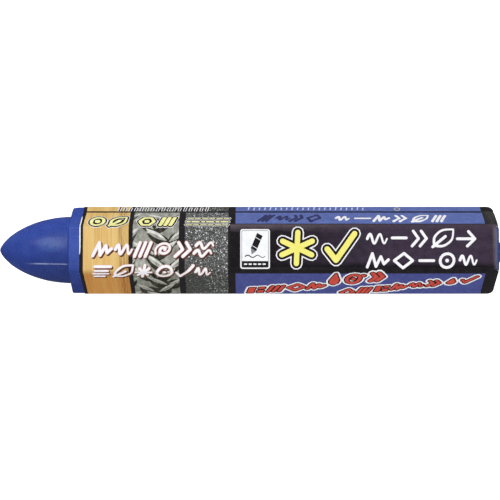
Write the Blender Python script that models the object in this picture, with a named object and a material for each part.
"""Thick hexagonal marking crayon in a wrapped film label.

Three loose pieces, all coaxial with the X axis of the stick:
  wax_stick      one casting: bullet nose, hexagonal body, pour stub behind
  wrapper        printed film, one turn round the six flats, edges lapped
  seam_adhesive  strip of glue inside the lap, which closes the film tube
The stick slides forward (towards -X) through the film tube as it wears.

Metres, +Z up.  The bottom flat of the film lies on z = 0.
"""
import bpy
import bmesh
import math

MM = 0.001

# ---- driving dimensions, mm -------------------------------------------------
LENGTH = 119.9            # nose tip to the top of the pour stub
WAX_AF = 18.0             # wax, across flats
WAX_EDGE_R = 0.6          # long edges of the hexagon
NOSE_LENGTH = 17.45       # tip to shoulder
NOSE_R = 7.952            # ogive: radius it grows towards
NOSE_FULL = 19.0          # ogive: length it would need to reach that radius
NOSE_P, NOSE_K = 2.308, 1.458
ROOT_FILLET = 0.40        # nose into shoulder
SHOULDER_ROUND = 0.45     # rounded rim of the shoulder
REAR_ROUND_X = 1.70       # rounded rim of the rear face, along the stick
REAR_ROUND_R = 1.00       # and across it
STUB_HEIGHT = 1.65        # pour stub, a low plug set a little off centre
STUB_R = 2.85
STUB_Y = -0.50
FILM_T = 0.10             # film thickness
FILM_GAP = 0.05           # running gap between wax and film, per flat
FILM_FRONT = -39.80       # front edge of the film
FILM_TURN = 60            # degrees of the rounded rear rim that it is drawn in over
LAP_EDGE = 7.45           # lap: free edge, from the top face's +Y edge
LAP_WIDTH = 4.90          # how far the film runs over itself
GLUE_ROOM = 0.08          # space between the two layers of the lap
GLUE_T = 0.05
GLUE_WIDTH = 4.10

TIP_X = -LENGTH / 2
END_X = LENGTH / 2
SHOULDER_X = TIP_X + NOSE_LENGTH
REAR_X = END_X - STUB_HEIGHT
FILM_H = WAX_AF / 2 + FILM_GAP + FILM_T       # axis to the film's outer flats
FILM_EDGE_R = WAX_EDGE_R + FILM_GAP + FILM_T
AXIS_Z = FILM_H

SECTOR = 12               # points of a ring in each sixth of a turn
ARC = 5                   # of which these lie on the rounded edge


# ---- helpers ----------------------------------------------------------------
def clear_scene():
    for ob in list(bpy.data.objects):
        bpy.data.objects.remove(ob, do_unlink=True)


def material(name, color, roughness, metallic=0.0, coat=0.0):
    mat = bpy.data.materials.new(name)
    mat.use_nodes = True
    bsdf = mat.node_tree.nodes["Principled BSDF"]
    bsdf.inputs["Base Color"].default_value = (*color, 1.0)
    bsdf.inputs["Roughness"].default_value = roughness
    bsdf.inputs["Metallic"].default_value = metallic
    bsdf.inputs["Coat Weight"].default_value = coat
    mat.diffuse_color = (*color, 1.0)
    return mat


def add_object(name, bm, mat, z=0.0, sharp=35.0):
    bmesh.ops.recalc_face_normals(bm, faces=bm.faces)
    me = bpy.data.meshes.new(name)
    bm.to_mesh(me)
    bm.free()
    me.shade_smooth()
    me.set_sharp_from_angle(angle=math.radians(sharp))
    me.materials.append(mat)
    ob = bpy.data.objects.new(name, me)
    ob.location = (0.0, 0.0, z * MM)
    bpy.context.scene.collection.objects.link(ob)
    return ob


def circle_ring(radius, dy=0.0):
    """Points (y, z) of a circle; point 2 of each sixth lies on a hexagon corner."""
    n = 6 * SECTOR
    return [(dy + radius * math.cos(2 * math.pi * (i - ARC // 2) / n),
             radius * math.sin(2 * math.pi * (i - ARC // 2) / n)) for i in range(n)]


def hex_ring(half_af, edge_r):
    """Points (y, z) of a hexagon with rounded corners, flats up and down."""
    pts = []
    centre = (half_af - edge_r) / math.cos(math.radians(30))
    for k in range(6):
        corner = math.radians(60 * k)
        cy, cz = centre * math.cos(corner), centre * math.sin(corner)
        for i in range(ARC):
            a = corner + math.radians(-30 + 60 * i / (ARC - 1))
            pts.append((cy + edge_r * math.cos(a), cz + edge_r * math.sin(a)))
        nxt = math.radians(60 * (k + 1))
        a = corner + math.radians(30)
        p = pts[-1]
        q = (centre * math.cos(nxt) + edge_r * math.cos(a),
             centre * math.sin(nxt) + edge_r * math.sin(a))
        flat = SECTOR - ARC
        for i in range(1, flat + 1):
            t = i / (flat + 1)
            pts.append((p[0] + (q[0] - p[0]) * t, p[1] + (q[1] - p[1]) * t))
    return pts


def nose_radius(s):
    """Radius of the nose at s mm behind the tip."""
    u = (NOSE_FULL - s) / NOSE_FULL
    return NOSE_R * max(1.0 - u ** NOSE_P, 0.0) ** (1.0 / NOSE_K)


# ---- wax stick --------------------------------------------------------------
def build_wax(mat):
    h = WAX_AF / 2
    rings = []                                   # (x, [(y, z), ...])

    # bullet nose, rings closing up towards the tip
    steps = 20
    nose_end = NOSE_LENGTH - ROOT_FILLET
    for i in range(1, steps + 1):
        s = nose_end * (i / steps) ** 1.7
        rings.append((TIP_X + s, circle_ring(nose_radius(s))))
    # concave fillet from the nose into the shoulder
    r0 = nose_radius(nose_end)
    for i in range(1, 5):
        a = math.radians(90 * i / 4)
        rings.append((SHOULDER_X - ROOT_FILLET * (1 - math.sin(a)),
                      circle_ring(r0 + ROOT_FILLET * (1 - math.cos(a)))))
    # shoulder and its rounded rim
    for i in range(0, 5):
        a = math.radians(90 * i / 4)
        rings.append((SHOULDER_X + SHOULDER_ROUND * (1 - math.cos(a)),
                      hex_ring(h - SHOULDER_ROUND * (1 - math.sin(a)), WAX_EDGE_R)))
    # rounded rim of the rear face
    for i in range(0, 7):
        a = math.radians(90 * i / 6)
        rings.append((REAR_X - REAR_ROUND_X * (1 - math.sin(a)),
                      hex_ring(h - REAR_ROUND_R * (1 - math.cos(a)), WAX_EDGE_R)))
    # pour stub: small fillet, slightly tapered wall, rounded top edge, crowned top
    for x, grow in ((0.0, 0.32), (0.06, 0.10), (0.20, 0.0), (1.05, -0.12), (1.32, -0.22),
                    (1.50, -0.45), (1.60, -0.85), (1.635, -1.60)):
        rings.append((REAR_X + x, circle_ring(STUB_R + grow, STUB_Y)))

    bm = bmesh.new()
    loops = [[bm.verts.new((x * MM, y * MM, z * MM)) for y, z in ring]
             for x, ring in rings]
    n = len(loops[0])
    for a, b in zip(loops, loops[1:]):
        for i in range(n):
            j = (i + 1) % n
            bm.faces.new((a[i], a[j], b[j], b[i]))
    for x, y, loop in ((TIP_X, 0.0, loops[0]), (END_X, STUB_Y, loops[-1])):
        pole = bm.verts.new((x * MM, y * MM, 0.0))
        for i in range(n):
            bm.faces.new((pole, loop[i], loop[(i + 1) % n]))
    return add_object("wax_stick", bm, mat, z=AXIS_Z)


# ---- film -------------------------------------------------------------------
def over_rim(degrees):
    """(x, half across flats) of the film's outer side where it follows the rounded
    rear rim, an even distance off the wax."""
    a = math.radians(degrees)
    nx, nr = REAR_ROUND_R * math.sin(a), REAR_ROUND_X * math.cos(a)
    m = math.hypot(nx, nr)
    off = FILM_GAP + FILM_T
    return (REAR_X - REAR_ROUND_X * (1 - math.sin(a)) + off * nx / m,
            WAX_AF / 2 - REAR_ROUND_R * (1 - math.cos(a)) + off * nr / m)


def hex_path(half_af, edge_r):
    """Corner arcs and flats as (v, y, z, ny, nz), v counted along sharp edges
    from the middle of the top face towards +Y."""
    side = 2 * FILM_H * math.tan(math.radians(30))
    centre = (half_af - edge_r) / math.cos(math.radians(30))
    reach = FILM_EDGE_R * math.tan(math.radians(30))      # arc start, from corner
    out = []
    for k in range(6):                                    # corners, going down +Y
        corner = math.radians(60 - 60 * k)
        v0 = side * (0.5 + k)
        cy, cz = centre * math.cos(corner), centre * math.sin(corner)
        for i in range(ARC):
            t = i / (ARC - 1)
            a = corner + math.radians(30 - 60 * t)
            out.append((v0 + reach * (2 * t - 1),
                        cy + edge_r * math.cos(a), cz + edge_r * math.sin(a),
                        math.cos(a), math.sin(a)))
    return out, side


def film_line(path, side, v):
    """Point and normal on the closed path at v (any turn)."""
    total = 6 * side
    turn = v % total
    pts = path + [(path[0][0] + total, *path[0][1:])]
    if turn < pts[0][0]:
        turn += total
    for p, q in zip(pts, pts[1:]):
        if p[0] <= turn <= q[0]:
            t = (turn - p[0]) / (q[0] - p[0]) if q[0] > p[0] else 0.0
            y = p[1] + (q[1] - p[1]) * t
            z = p[2] + (q[2] - p[2]) * t
            ny = p[3] + (q[3] - p[3]) * t
            nz = p[4] + (q[4] - p[4]) * t
            m = math.hypot(ny, nz)
            return y, z, ny / m, nz / m
    return (*pts[-1][1:3], *pts[-1][3:5])


def lap_edges():
    side = 2 * FILM_H * math.tan(math.radians(30))
    free = side / 2 + LAP_EDGE            # free edge of the outer layer
    start = free - LAP_WIDTH              # hidden edge of the inner layer
    return side, free, start


def build_wrapper(mat):
    side, free, start = lap_edges()
    total = 6 * side
    lift = FILM_T + GLUE_ROOM

    # stations round the film: (v, height above the normal outer surface)
    base, _ = hex_path(FILM_H, FILM_EDGE_R)
    stations = [(start + 0.10, 0.0)]
    for turn in (0, 1):
        for p in base:
            v = p[0] + turn * total
            if start + 0.2 < v < total + start - 0.9:
                stations.append((v, 0.0))
    stations += [(total + start - 0.75, 0.0), (total + start - 0.45, lift * 0.25),
                 (total + start - 0.20, lift * 0.75), (total + start + 0.05, lift)]
    stations += [(total + free, lift)]

    bm = bmesh.new()
    rows = []
    for x, half in [(FILM_FRONT, FILM_H)] + [over_rim(FILM_TURN * i / 4) for i in range(5)]:
        path, _ = hex_path(half, FILM_EDGE_R)
        row = []
        for v, up in stations:
            y, z, ny, nz = film_line(path, side, v)
            row.append(bm.verts.new((x * MM, (y + ny * up) * MM, (z + nz * up) * MM)))
        rows.append(row)
    for a, b in zip(rows, rows[1:]):
        for i in range(len(stations) - 1):
            bm.faces.new((a[i], a[i + 1], b[i + 1], b[i]))
    me = bpy.data.meshes.new("wrapper")
    bm.to_mesh(me)
    bm.free()
    # the normals have to point away from the axis for the Solidify below
    me.update()
    p = me.polygons[len(me.polygons) // 2]
    c = p.center
    if c.y * p.normal.y + c.z * p.normal.z < 0:
        me.flip_normals()
    me.shade_smooth()
    me.set_sharp_from_angle(angle=math.radians(35))
    me.materials.append(mat)
    ob = bpy.data.objects.new("wrapper", me)
    ob.location = (0.0, 0.0, AXIS_Z * MM)
    bpy.context.scene.collection.objects.link(ob)
    solid = ob.modifiers.new("film_thickness", "SOLIDIFY")
    solid.thickness = FILM_T * MM
    solid.offset = -1.0
    solid.use_even_offset = True
    return ob


def build_glue(mat):
    side, free, start = lap_edges()
    mid = (free + start) / 2 + 0.05
    path, _ = hex_path(FILM_H, FILM_EDGE_R)
    y, z, ny, nz = film_line(path, side, mid)
    x0, x1 = FILM_FRONT + 0.6, REAR_X - REAR_ROUND_X - 0.4
    low = (GLUE_ROOM - GLUE_T) / 2
    bm = bmesh.new()
    bmesh.ops.create_cube(bm, size=1.0)
    tangent = (-nz, ny)
    for vert in bm.verts:
        sx, st, sn = vert.co
        along = st * GLUE_WIDTH
        up = low + (sn + 0.5) * GLUE_T
        vert.co = ((x0 + (sx + 0.5) * (x1 - x0)) * MM,
                   (y + tangent[0] * along + ny * up) * MM,
                   (z + tangent[1] * along + nz * up) * MM)
    # rounded ends of the strip, as a roller lays it
    ends = [e for e in bm.edges
            if abs(e.verts[0].co.x - e.verts[1].co.x) < 1e-7
            and abs((e.verts[0].co - e.verts[1].co).length - GLUE_T * MM) < 1e-7]
    bmesh.ops.bevel(bm, geom=ends, offset=1.2 * MM, segments=4, affect='EDGES')
    return add_object("seam_adhesive", bm, mat, z=AXIS_Z)


def main():
    clear_scene()
    wax = material("wax", (0.055, 0.095, 0.305), 0.48)
    film = material("printed_film", (0.050, 0.042, 0.062), 0.28, coat=0.4)
    glue = material("clear_adhesive", (0.72, 0.70, 0.62), 0.35)
    stick = build_wax(wax)
    wrapper = build_wrapper(film)
    build_glue(glue)

    # slide axis of the stick: along X through the middle of the hexagon
    axis = bpy.data.objects.new("stick_slide_axis", None)
    axis.empty_display_type = 'SINGLE_ARROW'
    axis.location = (0.0, 0.0, AXIS_Z * MM)
    bpy.context.scene.collection.objects.link(axis)
    stick.parent = axis
    stick.location = (0.0, 0.0, 0.0)
    bpy.context.view_layer.update()


main()
